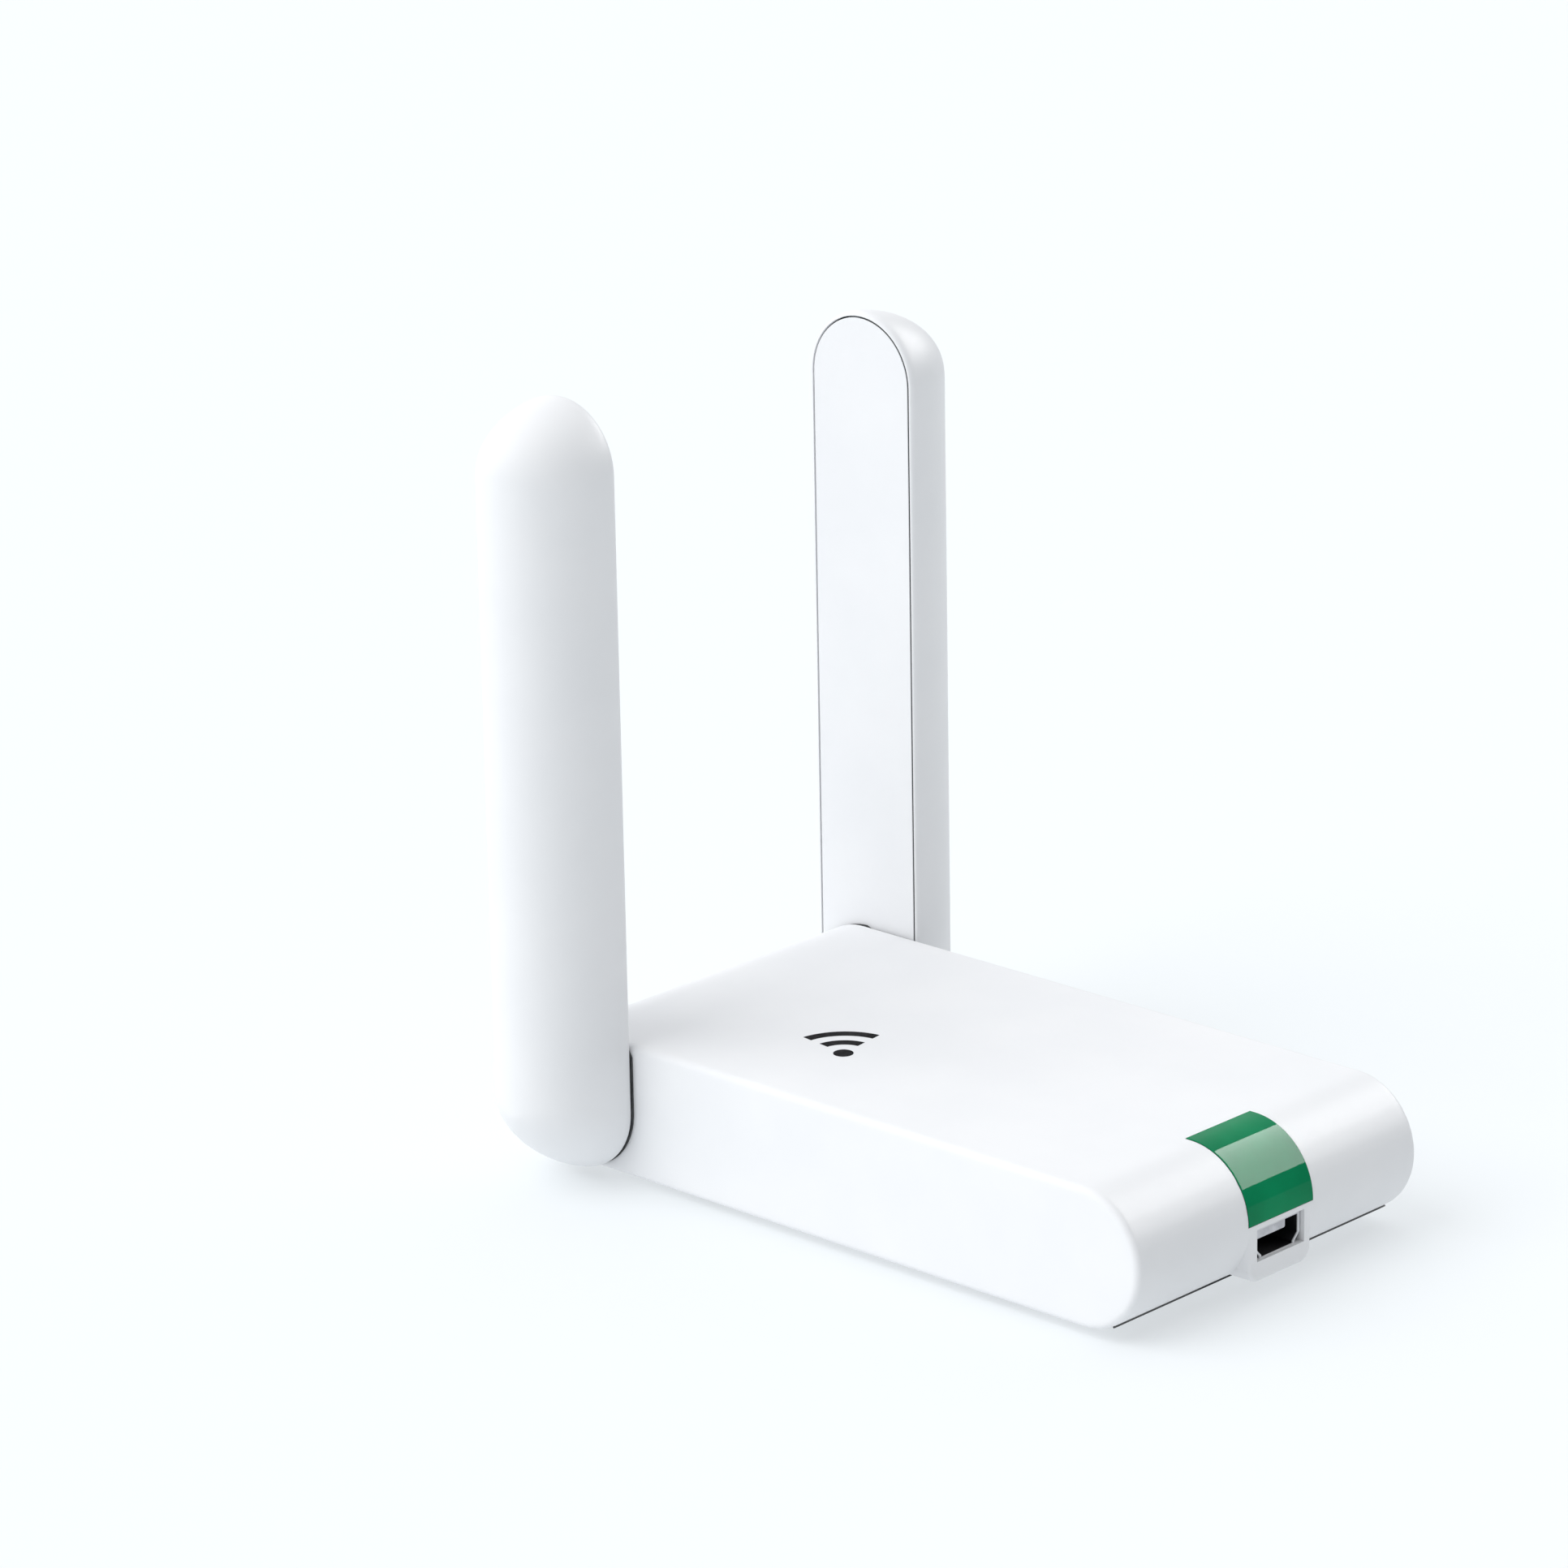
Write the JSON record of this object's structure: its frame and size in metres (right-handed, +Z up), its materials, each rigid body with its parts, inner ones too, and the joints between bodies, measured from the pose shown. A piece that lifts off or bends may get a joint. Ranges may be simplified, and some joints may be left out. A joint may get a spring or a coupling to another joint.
{
  "type": "usb wifi adapter",
  "caption": "Flat bar-shaped wireless network adapter with round ends, a coloured status window over a mini USB port, and a fold-down paddle aerial on each side.",
  "frame": {"origin": "centre of the whole part's box, on the table under the feet", "axes": "+X across the body from the left to the right aerial as seen from the port, -Y the way the port faces, +Z up"},
  "size_m": [0.0698, 0.09, 0.091],
  "materials": {
    "white_shell": "glossy moulded plastic",
    "white_cover": "fine satin moulded plastic",
    "green_window": "polished translucent plastic",
    "clear_pipe": "clear moulded acrylic",
    "foot_rubber": "matt soft rubber",
    "screw_steel": "zinc plated",
    "label_film": "blank printed film",
    "board_green": "solder mask over glass laminate",
    "port_steel": "tin plated sheet",
    "black_plastic": "fine matt moulded plastic",
    "gold_plate": "thin gold plate",
    "ferrite": "dark sintered ferrite",
    "ceramic": "fired ceramic with tinned ends",
    "led_resin": "clear cast resin",
    "lead_jacket": "smooth cable jacket",
    "hinge_steel": "turned steel",
    "spring_bronze": "rolled spring bronze"
  },
  "bodies": {
    "root": {"top_cover": "white_shell", "bottom_cover": "white_cover", "status_window": "green_window", "light_pipe": "clear_pipe", "rubber_feet": "foot_rubber", "case_screws": "screw_steel", "rating_label": "label_film", "circuit_board": "board_green", "usb_shell": "port_steel", "usb_insulator": "black_plastic", "usb_contacts": "gold_plate", "wifi_chip": "black_plastic", "shield_frame": "port_steel", "shield_lid": "port_steel", "clock_crystal": "port_steel", "memory_chip": "black_plastic", "power_regulator": "black_plastic", "power_inductor": "ferrite", "capacitors": "ceramic", "resistors": "black_plastic", "status_led": "led_resin", "switch_case": "black_plastic", "aerial_sockets": "gold_plate", "left_lead": "lead_jacket", "right_lead": "lead_jacket"},
    "left_aerial": {"left_aerial_shell": "white_shell", "left_aerial_cover": "white_cover", "left_radiator": "board_green", "left_radiator_lead": "lead_jacket", "left_hinge_tube": "hinge_steel", "left_friction_washer": "spring_bronze", "left_retaining_ring": "hinge_steel"},
    "right_aerial": {"right_aerial_shell": "white_shell", "right_aerial_cover": "white_cover", "right_radiator": "board_green", "right_radiator_lead": "lead_jacket", "right_hinge_tube": "hinge_steel", "right_friction_washer": "spring_bronze", "right_retaining_ring": "hinge_steel"},
    "button": {"pairing_button": "white_cover", "switch_plunger": "white_cover"}
  },
  "joints": [
    {"name": "left_aerial_hinge", "type": "hinge", "parent": "root", "child": "left_aerial", "pos_m": [-0.0239, 0.037, 0.009], "axis": [1, 0, 0], "range_deg": [-90, 90]},
    {"name": "right_aerial_hinge", "type": "hinge", "parent": "root", "child": "right_aerial", "pos_m": [0.0239, 0.037, 0.009], "axis": [1, 0, 0], "range_deg": [-90, 90]},
    {"name": "button_press", "type": "slide", "parent": "root", "child": "button", "axis": [0, -1, 0], "range_m": [0, 0.0005], "stiffness_N_per_m": 2000}
  ]
}
